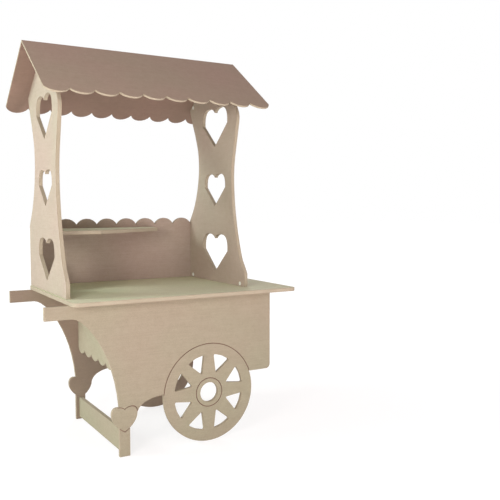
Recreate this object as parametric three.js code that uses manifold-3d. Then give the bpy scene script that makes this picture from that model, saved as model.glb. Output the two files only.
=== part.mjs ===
// Flat-pack candy buffet cart, cut from fibreboard with a thinner sheet for the roof, and put
// together with cam fixings and dowels. Millimetres, +Z up, +X towards the end without handles, -Y is the
// serving side. Heights are above the floor. Places along X are from the middle of the two
// posts and places along Y from the ridge; the last lines move the whole cart so that the
// origin is under the middle of its overall box.
import * as THREE from 'three';
import { mergeVertices } from 'three/addons/utils/BufferGeometryUtils.js';
import Module from 'manifold-3d';

const wasm = await Module();
wasm.setup();

// Board and clearances
const BOARD = 18;
const SEAT_GAP = 0.3;
const OVERRUN = 2;
const SMALL_CORNER = 2;

// Posts: two upright end panels that carry the roof
const POST_SPAN = 934;
const POST_DEPTH = 638;
const POST_FRONT_FOOT = 68;
const GABLE_FRONT_REACH = 188;
const GABLE_BACK_REACH = 300;
const POST_FRONT_EDGE_SHARES = [
  [0.928, 0.0366], [0.821, 0.093], [0.668, 0.257], [0.589, 0.411], [0.583, 0.5655],
  [0.69, 0.725], [0.755, 0.8275], [0.668, 0.889], [0.599, 0.937],
];
const POST_BACK_EDGE_SHARES = [
  [0.928, 0.049], [0.821, 0.12], [0.727, 0.209], [0.643, 0.327], [0.596, 0.465],
  [0.614, 0.6], [0.668, 0.688], [0.752, 0.786], [0.846, 0.88],
];
const POST_HEART_SHARES = [
  { tip: 0.0465, width: 0.435, height: 0.175 },
  { tip: 0.352, width: 0.36, height: 0.148 },
  { tip: 0.624, width: 0.438, height: 0.177 },
];

// Right half of a heart from its tip to its notch: curve points as shares of width and height.
// The posts' cut-outs have straight lower sides that meet the lobes at a corner, and the legs'
// hearts are round.
const CUTOUT_HEART_SHARES = [
  [0, 0], [0.17, 0.19], [0.33, 0.38], [0.5, 0.575], [0.52, 0.86],
  [0.44, 1], [0.26, 1], [0.12, 1], [0.03, 0.96], [0, 0.88],
];
const ROUND_HEART_SHARES = [
  [0, 0], [0.22, 0.13], [0.5, 0.4], [0.5, 0.72], [0.5, 0.9],
  [0.41, 1], [0.278, 1], [0.15, 1], [0.04, 0.96], [0, 0.89],
];

// Tabletop
const TABLE_HEIGHT = 732;
const TABLE_LEFT_OVERHANG = 10;
const TABLE_RIGHT_OVERHANG = 206;
const TABLE_BACK_OVERHANG = 2;
const TABLE_FRONT_OVERHANG = 66;
const TABLE_CORNER = 28;

// Side panels: handle, leg, false wheel and apron in one board, front and back
const BODY_DEPTH = 679;
const BODY_BACK_INSET = 36;
const PANEL_RIGHT_INSET = 118;
const HANDLE_REACH = 108;
const HANDLE_HEIGHT = 60;
const HANDLE_STRAIGHT = 120;
const LEG_FROM_TIP = 331;
const LEG_WIDTH = 50;
const LEG_HEART_WIDTH = 124;
const LEG_HEART_HEIGHT = 117;
const LEG_HEART_TIP = 114;
const NECK_CURVE_SHARES = [[0.31, 0.01], [0.905, 0.403], [1, 1]];
const ARCH_HEIGHT = 260;
const ARCH_CURVE_SHARES = [[0.09, 0.6], [0.4, 0.943], [1, 1]];
const PANEL_BOTTOM = 317;
const PANEL_CORNER = 24;

// False wheel, cut through between its spokes and outlined by a narrow routed groove
const WHEEL_RADIUS = 240;
const WHEEL_PLACE_SHARE = 0.5536;
const WHEEL_FLAT = 12;
const SPOKES = 8;
const HUB_RING_RADIUS = 70;
const HUB_HOLE_RADIUS = 48;
const WINDOW_APEX_RADIUS = 97;
const WINDOW_RIM_RADIUS = 187;
const WINDOW_HALF_ANGLE = THREE.MathUtils.degToRad(14.6);
const WINDOW_CORNER = 11;
const GROOVE_WIDTH = 4;
const GROOVE_DEPTH = 3;

// Cross boards
const SCALLOP_PITCH = 113;
const APRON_HEIGHT = 228;
const APRON_SCALLOP = 24;
const LEFT_APRON_DROP = 119;
const RIGHT_APRON_DROP = 71;
const RIGHT_APRON_INSET = 32;
const STRETCHER_BOTTOM = 15;
const STRETCHER_HEIGHT = 105;

// Low back panel and shelf between the posts
const BACK_PANEL_HEIGHT = 310;
const BACK_SCALLOP = 34;
const SHELF_DROP = 16;
const SHELF_LENGTH = 656;
const SHELF_LEFT_DEPTH = 358;
const SHELF_RIGHT_DEPTH = 141;
const SHELF_STRAIGHT_FRONT = 234;
const SHELF_END_SLANT = 28;

// Roof
const ROOF_BOARD = 9;
const RIDGE_HEIGHT = 1916;
const ROOF_PITCH = THREE.MathUtils.degToRad(35.3);
const ROOF_LENGTH = 1128;
const ROOF_SLOPE_LENGTH = 450;
const ROOF_SCALLOP = 38;

// Cam fixings and dowels
const CAM_RADIUS = 10;
const CAM_DEPTH = 13.4;
const CAM_PROUD = 0.6;
const CAM_EDGE = 14;
const CAM_SLOT_WIDTH = 2;
const CAM_SLOT_DEPTH = 1.5;
const CAM_SLOT_LENGTH = 11;
const BOLT_THREAD_RADIUS = 3;
const BOLT_THREAD_LENGTH = 11.4;
const ROOF_THREAD_LENGTH = 6.2;
const BOLT_SHANK_RADIUS = 2.5;
const BOLT_NECK_RADIUS = 1.8;
const BOLT_HEAD_RADIUS = 3.4;
const BOLT_HEAD_LENGTH = 3;
const BOLT_NECK_LENGTH = 3;
const DOWEL_RADIUS = 4;
const DOWEL_LENGTH = 29;
const DOWEL_IN_FACE = 11.5;
const POST_CAM_INSET = 47;
const GABLE_CAM_INSET = 32;
const TABLE_CAM_LEFT = 147;
const TABLE_CAM_RIGHT = 175;
const APRON_CAM_DROP = 55;
const STRETCHER_DOWEL_INSET = 25;
const BACK_DOWEL_INSET = 60;
const SHELF_DOWEL_INSET = 90;

// Facets of each arc or circle
const CURVE_STEPS = 4;
const CORNER_STEPS = 3;
const SCALLOP_STEPS = 4;
const HEART_STEPS = 7;
const EDGE_STEPS = 30;
const PANEL_STEPS = 12;
const CAM_STEPS = 16;
const BOLT_STEPS = 8;

// Places that follow from the sizes
const POST_X = POST_SPAN / 2;
const POST_Y = POST_DEPTH / 2;
const TABLE_LEFT_X = -POST_X - TABLE_LEFT_OVERHANG;
const TABLE_RIGHT_X = POST_X + TABLE_RIGHT_OVERHANG;
const TABLE_BACK_Y = POST_Y + TABLE_BACK_OVERHANG;
const BODY_BACK_Y = TABLE_BACK_Y - BODY_BACK_INSET;
const BODY_FRONT_Y = BODY_BACK_Y - BODY_DEPTH;
const TABLE_FRONT_Y = BODY_FRONT_Y - TABLE_FRONT_OVERHANG;
const TABLE_UNDERSIDE = TABLE_HEIGHT - BOARD;
const HANDLE_TIP_X = TABLE_LEFT_X - HANDLE_REACH;
const PANEL_RIGHT_X = TABLE_RIGHT_X - PANEL_RIGHT_INSET;
const LEG_LEFT_X = HANDLE_TIP_X + LEG_FROM_TIP;
const LEG_X = LEG_LEFT_X + LEG_WIDTH / 2;
const WHEEL_X = THREE.MathUtils.lerp(LEG_X, PANEL_RIGHT_X, WHEEL_PLACE_SHARE);
const WHEEL_Z = Math.sqrt(WHEEL_RADIUS ** 2 - WHEEL_FLAT ** 2);
const LEFT_APRON_TOP = TABLE_UNDERSIDE - LEFT_APRON_DROP;
const RIGHT_APRON_TOP = TABLE_UNDERSIDE - RIGHT_APRON_DROP;
const POST_FOOT_Z = TABLE_HEIGHT + SEAT_GAP;
const BACK_PANEL_TOP = TABLE_HEIGHT + BACK_PANEL_HEIGHT;
const SHELF_UNDERSIDE = BACK_PANEL_TOP - SHELF_DROP - BOARD;
const GABLE_PEAK = RIDGE_HEIGHT - (ROOF_BOARD + SEAT_GAP) / Math.cos(ROOF_PITCH);

// Finishes
const BOARD_COLOUR = 0xbdab90;
const TOP_COLOUR = 0xb9b096;
const ROOF_COLOUR = 0x9a8574;
const CAM_COLOUR = 0xe4e6dc;
const STEEL_COLOUR = 0xb4b6b8;
const DOWEL_COLOUR = 0xd2b184;
const RAW_ROUGHNESS = 0.78;
const PLASTIC_ROUGHNESS = 0.45;
const STEEL_ROUGHNESS = 0.35;
const finish = (color, roughness, metalness = 0) => (
  new THREE.MeshStandardMaterial({ color, roughness, metalness })
);

const X_AXIS = new THREE.Vector3(1, 0, 0);
const Y_AXIS = new THREE.Vector3(0, 1, 0);
const Z_AXIS = new THREE.Vector3(0, 0, 1);
const at = (x, y, z) => new THREE.Vector3(x, y, z);

// Solid of a closed geometry, moved by a matrix
function solid(geometry, matrix = new THREE.Matrix4()) {
  const bare = geometry.clone().applyMatrix4(matrix);
  bare.deleteAttribute('normal');
  bare.deleteAttribute('uv');
  const merged = mergeVertices(bare);
  return new wasm.Manifold(new wasm.Mesh({
    numProp: 3,
    vertProperties: Float32Array.from(merged.attributes.position.array),
    triVerts: Uint32Array.from(merged.index.array),
  }));
}

// Geometry of a finished solid
function geometryOf(body) {
  const mesh = body.getMesh();
  const geometry = new THREE.BufferGeometry();
  geometry.setAttribute('position', new THREE.BufferAttribute(mesh.vertProperties, mesh.numProp));
  geometry.setIndex(new THREE.BufferAttribute(mesh.triVerts, 1));
  geometry.computeVertexNormals();
  return geometry;
}

function extruded(shape, depth, steps = CURVE_STEPS) {
  return new THREE.ExtrudeGeometry(shape, { depth, bevelEnabled: false, curveSegments: steps });
}

// A cylinder along a direction, from a start point
function rod(start, direction, length, radius, steps = BOLT_STEPS) {
  const geometry = new THREE.CylinderGeometry(radius, radius, length, steps);
  geometry.translate(0, length / 2, 0);
  geometry.applyQuaternion(new THREE.Quaternion().setFromUnitVectors(Y_AXIS, direction));
  return geometry.translate(start.x, start.y, start.z);
}

// A board: an outline cut from the sheet, placed in the cart and drilled for its fixings.
// What is cut is given in the board's own frame, and fixings in the cart's.
class Board {
  constructor(name, outline, placement, color = BOARD_COLOUR, steps = CURVE_STEPS, thickness = BOARD) {
    this.name = name;
    this.placement = placement;
    this.color = color;
    this.body = solid(extruded(outline, thickness, steps));
    this.inverse = placement.clone().invert();
  }

  cut(geometry) {
    this.body = this.body.subtract(solid(geometry));
  }

  drill(geometry) {
    this.body = this.body.subtract(solid(geometry, this.inverse));
  }

  mesh() {
    const mesh = new THREE.Mesh(geometryOf(this.body), finish(this.color, RAW_ROUGHNESS));
    mesh.name = this.name;
    this.placement.decompose(mesh.position, mesh.quaternion, mesh.scale);
    return mesh;
  }
}

// Placements: which way the sheet's own x, y and thickness run in the cart
const lying = (z) => new THREE.Matrix4().makeTranslation(0, 0, z);
const facingFront = (y) => new THREE.Matrix4().makeBasis(X_AXIS, Z_AXIS, at(0, -1, 0)).setPosition(0, y, 0);
const facingEnd = (x) => new THREE.Matrix4().makeBasis(Y_AXIS, Z_AXIS, X_AXIS).setPosition(x, 0, 0);

// An arc between two points that bulges to the right of the way it runs
function arcTo(path, from, to, bulge) {
  const chord = from.distanceTo(to);
  const radius = (chord ** 2 / 4 + bulge ** 2) / (2 * bulge);
  const along = to.clone().sub(from).normalize();
  const side = new THREE.Vector2(along.y, -along.x);
  const centre = from.clone().add(to).divideScalar(2).addScaledVector(side, bulge - radius);
  const start = Math.atan2(from.y - centre.y, from.x - centre.x);
  const end = Math.atan2(to.y - centre.y, to.x - centre.x);
  path.absarc(centre.x, centre.y, radius, start, end, false);
}

// A row of equal scallops from one point to another
function scallops(path, from, to, bulge) {
  const count = Math.max(1, Math.round(from.distanceTo(to) / SCALLOP_PITCH));
  for (let i = 0; i < count; i += 1) {
    const start = from.clone().lerp(to, i / count);
    const end = from.clone().lerp(to, (i + 1) / count);
    arcTo(path, start, end, bulge);
  }
}

// A heart that stands on its tip: up its right half, then down the left one in reverse
function heart(Path, shares, x, tip, width, height) {
  const path = new Path();
  const half = (side) => shares.map(([across, up]) => [x + side * across * width, tip + up * height]);
  const points = [...half(1), ...half(-1).reverse().slice(1)];
  path.moveTo(...points[0]);
  for (let i = 1; i < points.length; i += 3) {
    path.bezierCurveTo(...points[i], ...points[i + 1], ...points[i + 2]);
  }
  return path;
}

// A smooth edge through points, from the path's current end
function traceSpline(path, points) {
  new THREE.SplineCurve(points).getPoints(EDGE_STEPS).slice(1).forEach(({ x, y }) => path.lineTo(x, y));
}

// A closed outline through corner points, each rounded by its own radius
function rounded(Path, corners) {
  const path = new Path();
  corners.forEach(({ point, radius }, i) => {
    const before = corners[(i + corners.length - 1) % corners.length].point;
    const after = corners[(i + 1) % corners.length].point;
    const start = point.clone().addScaledVector(before.clone().sub(point).normalize(), radius);
    const end = point.clone().addScaledVector(after.clone().sub(point).normalize(), radius);
    if (i === 0) {
      path.moveTo(start.x, start.y);
    }
    const corner = new THREE.QuadraticBezierCurve(start, point, end).getPoints(CORNER_STEPS);
    corner.forEach(({ x, y }) => path.lineTo(x, y));
  });
  path.closePath();
  return path;
}

// Points of the leg's heart, grown all round or shrunk, from the tip up the right half and back
function legHeartPoints(growth = 0) {
  return heart(
    THREE.Path,
    ROUND_HEART_SHARES,
    LEG_X,
    LEG_HEART_TIP - growth,
    LEG_HEART_WIDTH + 2 * growth,
    LEG_HEART_HEIGHT + 2 * growth,
  ).getPoints(HEART_STEPS).slice(0, -1);
}

// The heart's points that stand out beside the leg on one side
const heartBesideLeg = (side) => (
  legHeartPoints().filter(({ x }) => side * (x - LEG_X) > LEG_WIDTH / 2)
);

// Height of a heart's lower side at a distance from its middle
function lowerSideHeight(points, reach) {
  const next = points.findIndex(({ x }) => x - LEG_X > reach);
  const [from, to] = [points[next - 1], points[next]];
  return THREE.MathUtils.mapLinear(LEG_X + reach, from.x, to.x, from.y, to.y);
}

// Half the wheel's width at a height above the floor
const wheelHalfWidth = (z) => Math.sqrt(WHEEL_RADIUS ** 2 - (z - WHEEL_Z) ** 2);
const wheelAngle = (side, z) => Math.atan2(z - WHEEL_Z, side * wheelHalfWidth(z));

// Outline of a side panel, once round from the handle: neck, heart, leg, heart, arch, wheel
function sidePanelOutline() {
  const top = TABLE_UNDERSIDE - SEAT_GAP;
  const handleBottom = TABLE_UNDERSIDE - HANDLE_HEIGHT;
  const neckX = HANDLE_TIP_X + HANDLE_STRAIGHT;
  const neckEndZ = LEG_HEART_TIP + LEG_HEART_HEIGHT;
  const legRightX = LEG_LEFT_X + LEG_WIDTH;
  const heartSideX = LEG_X + LEG_HEART_WIDTH / 2;
  const heartSideZ = legHeartPoints()[HEART_STEPS].y;
  const archEndX = WHEEL_X - wheelHalfWidth(ARCH_HEIGHT);
  const shape = new THREE.Shape();
  const follow = (points) => points.forEach(({ x, y }) => shape.lineTo(x, y));
  shape.moveTo(HANDLE_TIP_X, top);
  shape.lineTo(HANDLE_TIP_X, handleBottom);
  shape.lineTo(neckX, handleBottom);
  shape.bezierCurveTo(...NECK_CURVE_SHARES.flatMap(([across, down]) => [
    THREE.MathUtils.lerp(neckX, LEG_LEFT_X, across),
    THREE.MathUtils.lerp(handleBottom, neckEndZ, down),
  ]));
  const crossingZ = lowerSideHeight(legHeartPoints(), LEG_WIDTH / 2);
  follow(heartBesideLeg(-1));
  shape.lineTo(LEG_LEFT_X, crossingZ);
  shape.lineTo(LEG_LEFT_X, 0);
  shape.lineTo(legRightX, 0);
  shape.lineTo(legRightX, crossingZ);
  follow(heartBesideLeg(1).filter(({ y }) => y < heartSideZ));
  shape.lineTo(heartSideX, heartSideZ);
  shape.bezierCurveTo(...ARCH_CURVE_SHARES.flatMap(([across, up]) => [
    THREE.MathUtils.lerp(heartSideX, archEndX, across),
    THREE.MathUtils.lerp(heartSideZ, ARCH_HEIGHT, up),
  ]));
  const flatAngle = Math.asin(WHEEL_FLAT / WHEEL_RADIUS);
  const straightDown = -Math.PI / 2;
  const wheelStart = wheelAngle(-1, ARCH_HEIGHT) - 2 * Math.PI;
  shape.absarc(WHEEL_X, WHEEL_Z, WHEEL_RADIUS, wheelStart, straightDown - flatAngle, false);
  const wheelEnd = wheelAngle(1, PANEL_BOTTOM);
  shape.absarc(WHEEL_X, WHEEL_Z, WHEEL_RADIUS, straightDown + flatAngle, wheelEnd, false);
  const cornerX = PANEL_RIGHT_X - PANEL_CORNER;
  const cornerZ = PANEL_BOTTOM + PANEL_CORNER;
  shape.absarc(cornerX, cornerZ, PANEL_CORNER, straightDown, 0, false);
  shape.lineTo(PANEL_RIGHT_X, top);
  return shape;
}

// One opening between two spokes: its apex points at the hub and its base follows the rim
function spokeWindow(angle) {
  const polar = (radius, turn) => new THREE.Vector2(
    WHEEL_X + radius * Math.cos(turn),
    WHEEL_Z + radius * Math.sin(turn),
  );
  const corner = (radius, turn) => ({ point: polar(radius, turn), radius: WINDOW_CORNER });
  const crown = { point: polar(WINDOW_RIM_RADIUS, angle), radius: WINDOW_CORNER };
  return rounded(THREE.Path, [
    corner(WINDOW_APEX_RADIUS, angle),
    corner(WINDOW_RIM_RADIUS, angle - WINDOW_HALF_ANGLE),
    crown,
    corner(WINDOW_RIM_RADIUS, angle + WINDOW_HALF_ANGLE),
  ]);
}

function circle(Path, x, y, radius) {
  const path = new Path();
  path.absarc(x, y, radius, 0, 2 * Math.PI, false);
  return path;
}

function hubRingOutline() {
  const shape = circle(THREE.Shape, WHEEL_X, WHEEL_Z, HUB_RING_RADIUS + GROOVE_WIDTH / 2);
  shape.holes.push(circle(THREE.Path, WHEEL_X, WHEEL_Z, HUB_RING_RADIUS - GROOVE_WIDTH / 2));
  return shape;
}

// The band that goes on with the wheel's rim over the panel, a little past the panel's edges
function wheelBandOutline() {
  const past = GROOVE_WIDTH / WHEEL_RADIUS;
  const start = wheelAngle(1, PANEL_BOTTOM) - past;
  const end = wheelAngle(-1, ARCH_HEIGHT) + past;
  const shape = new THREE.Shape();
  shape.absarc(WHEEL_X, WHEEL_Z, WHEEL_RADIUS + GROOVE_WIDTH / 2, start, end, false);
  shape.absarc(WHEEL_X, WHEEL_Z, WHEEL_RADIUS - GROOVE_WIDTH / 2, end, start, true);
  return shape;
}

// The band that closes the heart's top over the panel, from its right side to its left lobe
function heartTopBandOutline() {
  const rightSide = HEART_STEPS;
  const leftLobe = 4 * HEART_STEPS;
  const outer = legHeartPoints(GROOVE_WIDTH / 2).slice(rightSide, leftLobe + 2);
  const inner = legHeartPoints(-GROOVE_WIDTH / 2).slice(rightSide + 1, leftLobe + 1);
  return new THREE.Shape([...outer, ...inner.reverse()]);
}

// The band that closes the heart's tip over the leg, out to both sides of the leg
function heartTipBandOutline() {
  const run = (growth, reach) => {
    const points = legHeartPoints(growth);
    const end = (side) => new THREE.Vector2(LEG_X + side * reach, lowerSideHeight(points, reach));
    const highest = end(1).y;
    const within = points.filter(({ x, y }) => Math.abs(x - LEG_X) < reach && y < highest);
    return [end(-1), ...within.sort((a, b) => a.x - b.x), end(1)];
  };
  const outer = run(GROOVE_WIDTH / 2, (LEG_WIDTH + GROOVE_WIDTH) / 2);
  const inner = run(-GROOVE_WIDTH / 2, (LEG_WIDTH - GROOVE_WIDTH) / 2);
  return new THREE.Shape([...outer, ...inner.reverse()]);
}

// A side panel. Its grooves are on the face that looks away from the cart.
function sidePanel(name, y, outerFaceIsTop) {
  const outline = sidePanelOutline();
  outline.holes.push(circle(THREE.Path, WHEEL_X, WHEEL_Z, HUB_HOLE_RADIUS));
  for (let i = 0; i < SPOKES; i += 1) {
    outline.holes.push(spokeWindow(((i + 0.5) / SPOKES) * 2 * Math.PI));
  }
  const panel = new Board(name, outline, facingFront(y), BOARD_COLOUR, PANEL_STEPS);
  const grooveStart = outerFaceIsTop ? BOARD - GROOVE_DEPTH : -OVERRUN;
  const bands = [hubRingOutline(), wheelBandOutline(), heartTopBandOutline(), heartTipBandOutline()];
  bands.forEach((groove) => {
    panel.cut(extruded(groove, GROOVE_DEPTH + OVERRUN, PANEL_STEPS).translate(0, 0, grooveStart));
  });
  return panel;
}

function tabletop() {
  const corner = (x, y) => ({ point: new THREE.Vector2(x, y), radius: TABLE_CORNER });
  const outline = rounded(THREE.Shape, [
    corner(TABLE_LEFT_X, TABLE_FRONT_Y),
    corner(TABLE_RIGHT_X, TABLE_FRONT_Y),
    corner(TABLE_RIGHT_X, TABLE_BACK_Y),
    corner(TABLE_LEFT_X, TABLE_BACK_Y),
  ]);
  return new Board('tabletop', outline, lying(TABLE_UNDERSIDE), TOP_COLOUR);
}

// A cross board under the table with a scalloped bottom edge
function endApron(name, x, top) {
  const front = BODY_FRONT_Y + BOARD + SEAT_GAP;
  const back = BODY_BACK_Y - BOARD - SEAT_GAP;
  const notch = top - APRON_HEIGHT + APRON_SCALLOP;
  const shape = new THREE.Shape();
  shape.moveTo(back, top);
  shape.lineTo(front, top);
  shape.lineTo(front, notch);
  scallops(shape, new THREE.Vector2(front, notch), new THREE.Vector2(back, notch), APRON_SCALLOP);
  return new Board(name, shape, facingEnd(x), BOARD_COLOUR, SCALLOP_STEPS);
}

function legStretcher() {
  const front = BODY_FRONT_Y + BOARD + SEAT_GAP;
  const back = BODY_BACK_Y - BOARD - SEAT_GAP;
  const shape = new THREE.Shape();
  shape.moveTo(front, STRETCHER_BOTTOM);
  shape.lineTo(back, STRETCHER_BOTTOM);
  shape.lineTo(back, STRETCHER_BOTTOM + STRETCHER_HEIGHT);
  shape.lineTo(front, STRETCHER_BOTTOM + STRETCHER_HEIGHT);
  return new Board('leg_stretcher', shape, facingEnd(LEG_X - BOARD / 2));
}

// Height of a post's gable under the roof at a distance from the ridge
const gableHeight = (reachY) => GABLE_PEAK - reachY * Math.tan(ROOF_PITCH);

// A post: waisted outline with a gabled top and three heart openings
function post(name, x) {
  const frontTop = gableHeight(GABLE_FRONT_REACH);
  const backTop = gableHeight(GABLE_BACK_REACH);
  const footTop = POST_FOOT_Z + POST_FRONT_FOOT;
  const edge = (side, shares, low, high) => shares.map(([out, up]) => new THREE.Vector2(
    side * out * POST_Y,
    THREE.MathUtils.lerp(low, high, up),
  ));
  const shape = new THREE.Shape();
  shape.moveTo(-POST_Y, POST_FOOT_Z);
  shape.lineTo(POST_Y, POST_FOOT_Z);
  shape.lineTo(POST_Y, BACK_PANEL_TOP);
  traceSpline(shape, [
    new THREE.Vector2(POST_Y, BACK_PANEL_TOP),
    ...edge(1, POST_BACK_EDGE_SHARES, BACK_PANEL_TOP, backTop),
    new THREE.Vector2(GABLE_BACK_REACH, backTop),
  ]);
  shape.lineTo(0, GABLE_PEAK);
  shape.lineTo(-GABLE_FRONT_REACH, frontTop);
  traceSpline(shape, [
    new THREE.Vector2(-GABLE_FRONT_REACH, frontTop),
    ...edge(-1, POST_FRONT_EDGE_SHARES, footTop, frontTop).reverse(),
    new THREE.Vector2(-POST_Y, footTop),
  ]);
  const rise = GABLE_PEAK - POST_FOOT_Z;
  POST_HEART_SHARES.forEach(({ tip, width, height }) => {
    const low = POST_FOOT_Z + tip * rise;
    const hole = heart(THREE.Path, CUTOUT_HEART_SHARES, 0, low, width * POST_DEPTH, height * rise);
    shape.holes.push(hole);
  });
  return new Board(name, shape, facingEnd(x), BOARD_COLOUR, HEART_STEPS);
}

function backPanel() {
  const end = POST_X - BOARD - SEAT_GAP;
  const shape = new THREE.Shape();
  shape.moveTo(-end, POST_FOOT_Z);
  shape.lineTo(end, POST_FOOT_Z);
  shape.lineTo(end, BACK_PANEL_TOP);
  const from = new THREE.Vector2(end, BACK_PANEL_TOP);
  scallops(shape, from, new THREE.Vector2(-end, BACK_PANEL_TOP), BACK_SCALLOP);
  return new Board('back_panel', shape, facingFront(POST_Y), BOARD_COLOUR, SCALLOP_STEPS);
}

// The shelf: deep at the left post, then its front edge runs back at a slant
function shelf() {
  const left = -POST_X + BOARD + SEAT_GAP;
  const right = left + SHELF_LENGTH;
  const back = POST_Y - BOARD - SEAT_GAP;
  const corner = (x, y) => ({ point: new THREE.Vector2(x, y), radius: SMALL_CORNER });
  const outline = rounded(THREE.Shape, [
    corner(left, back - SHELF_LEFT_DEPTH),
    corner(left + SHELF_STRAIGHT_FRONT, back - SHELF_LEFT_DEPTH),
    corner(right - SHELF_END_SLANT, back - SHELF_RIGHT_DEPTH),
    corner(right, back),
    corner(left, back),
  ]);
  return new Board('shelf', outline, lying(SHELF_UNDERSIDE), TOP_COLOUR, 1);
}

// A prism along the ridge that leaves a roof board's top edge upright where the two meet
function ridgeMitre(inset) {
  const lean = Math.tan(ROOF_PITCH);
  const shape = new THREE.Shape();
  shape.moveTo(inset - OVERRUN * lean, ROOF_BOARD + OVERRUN);
  shape.lineTo(-ROOF_BOARD, ROOF_BOARD + OVERRUN);
  shape.lineTo(-ROOF_BOARD, -OVERRUN);
  shape.lineTo(inset + (ROOF_BOARD + OVERRUN) * lean, -OVERRUN);
  return extruded(shape, ROOF_LENGTH + 2 * OVERRUN).applyMatrix4(facingEnd(-ROOF_LENGTH / 2 - OVERRUN));
}

// A roof board: mitred at the ridge, scalloped at the eaves. A half turn makes the front one.
function roofPanel(name, halfTurn) {
  const half = ROOF_LENGTH / 2;
  const inset = SEAT_GAP / 2 / Math.cos(ROOF_PITCH);
  const eavesRight = new THREE.Vector2(half, ROOF_SLOPE_LENGTH);
  const eavesLeft = new THREE.Vector2(-half, ROOF_SLOPE_LENGTH);
  const shape = new THREE.Shape();
  shape.moveTo(-half, inset);
  shape.lineTo(half, inset);
  shape.lineTo(eavesRight.x, eavesRight.y);
  scallops(shape, eavesRight, eavesLeft, ROOF_SCALLOP);
  const down = at(0, Math.cos(ROOF_PITCH), -Math.sin(ROOF_PITCH));
  const out = at(0, Math.sin(ROOF_PITCH), Math.cos(ROOF_PITCH));
  const origin = at(0, 0, RIDGE_HEIGHT).addScaledVector(out, -ROOF_BOARD);
  const placement = new THREE.Matrix4().makeBasis(X_AXIS, down, out).setPosition(origin);
  if (halfTurn) {
    placement.premultiply(new THREE.Matrix4().makeRotationZ(Math.PI));
  }
  const panel = new Board(name, shape, placement, ROOF_COLOUR, SCALLOP_STEPS, ROOF_BOARD);
  panel.cut(ridgeMitre(inset));
  return panel;
}

// The threaded bolt of a cam fixing, standing on its seat with its thread below
function boltGeometry(threadLength) {
  const headEnd = CAM_EDGE + BOLT_HEAD_LENGTH / 2;
  const headStart = headEnd - BOLT_HEAD_LENGTH;
  const neckStart = headStart - BOLT_NECK_LENGTH;
  const profile = [
    [0, -threadLength], [BOLT_THREAD_RADIUS, -threadLength], [BOLT_THREAD_RADIUS, 0],
    [BOLT_SHANK_RADIUS, 0], [BOLT_SHANK_RADIUS, neckStart], [BOLT_NECK_RADIUS, neckStart],
    [BOLT_NECK_RADIUS, headStart], [BOLT_HEAD_RADIUS, headStart], [BOLT_HEAD_RADIUS, headEnd],
    [0, headEnd],
  ].map(([radius, height]) => new THREE.Vector2(radius, height));
  return new THREE.LatheGeometry(profile, BOLT_STEPS);
}

const fixings = [];

function keep(name, geometry, material) {
  const mesh = new THREE.Mesh(geometry, material);
  mesh.name = name;
  fixings.push(mesh);
}

// A cam fixing. The bolt is screwed into the receiver and runs through the holder's edge into
// a cam that sits in the holder's face. seat is on the holder's edge, into points along the
// bolt from there, and face is the way that the cam looks.
function camJoint(name, holder, receiver, seat, into, face, threadLength = BOLT_THREAD_LENGTH) {
  const back = into.clone().negate();
  const sunk = face.clone().negate();
  const mouth = seat.clone().addScaledVector(into, CAM_EDGE).addScaledVector(face, BOARD / 2);
  const boreRadius = BOLT_HEAD_RADIUS + SEAT_GAP;
  const boreLength = CAM_EDGE + BOLT_HEAD_LENGTH;
  const pocketStart = mouth.clone().addScaledVector(face, OVERRUN);
  holder.drill(rod(pocketStart, sunk, CAM_DEPTH + SEAT_GAP + OVERRUN, CAM_RADIUS + SEAT_GAP, CAM_STEPS));
  holder.drill(rod(seat.clone().addScaledVector(back, OVERRUN), into, CAM_EDGE + OVERRUN, boreRadius));
  const threadStart = seat.clone().addScaledVector(into, OVERRUN);
  const threadRadius = BOLT_THREAD_RADIUS + SEAT_GAP;
  receiver.drill(rod(threadStart, back, OVERRUN + threadLength + SEAT_GAP, threadRadius));
  const camFace = mouth.clone().addScaledVector(face, CAM_PROUD);
  const slotTurn = new THREE.Quaternion().setFromUnitVectors(Z_AXIS, face);
  const slot = (length, width) => new THREE.BoxGeometry(length, width, 2 * CAM_SLOT_DEPTH)
    .applyQuaternion(slotTurn)
    .translate(camFace.x, camFace.y, camFace.z);
  const cam = solid(rod(camFace, sunk, CAM_DEPTH + CAM_PROUD, CAM_RADIUS, CAM_STEPS))
    .subtract(solid(rod(seat, into, boreLength, boreRadius)))
    .subtract(solid(slot(CAM_SLOT_LENGTH, CAM_SLOT_WIDTH)))
    .subtract(solid(slot(CAM_SLOT_WIDTH, CAM_SLOT_LENGTH)));
  keep(`${name}_cam`, geometryOf(cam), finish(CAM_COLOUR, PLASTIC_ROUGHNESS));
  const bolt = boltGeometry(threadLength)
    .applyQuaternion(new THREE.Quaternion().setFromUnitVectors(Y_AXIS, into))
    .translate(seat.x, seat.y, seat.z);
  keep(`${name}_bolt`, geometryOf(solid(bolt)), finish(STEEL_COLOUR, STEEL_ROUGHNESS, 1));
}

// A dowel between the holder's edge and the receiver's face
function dowelJoint(name, holder, receiver, seat, into) {
  const back = into.clone().negate();
  const boreRadius = DOWEL_RADIUS + SEAT_GAP;
  const edgeDepth = DOWEL_LENGTH - DOWEL_IN_FACE + SEAT_GAP;
  holder.drill(rod(seat.clone().addScaledVector(back, OVERRUN), into, OVERRUN + edgeDepth, boreRadius));
  const faceStart = seat.clone().addScaledVector(into, OVERRUN);
  receiver.drill(rod(faceStart, back, OVERRUN + DOWEL_IN_FACE + SEAT_GAP, boreRadius));
  const start = seat.clone().addScaledVector(back, DOWEL_IN_FACE);
  const dowel = solid(rod(start, into, DOWEL_LENGTH, DOWEL_RADIUS));
  keep(name, geometryOf(dowel), finish(DOWEL_COLOUR, RAW_ROUGHNESS));
}

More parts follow.
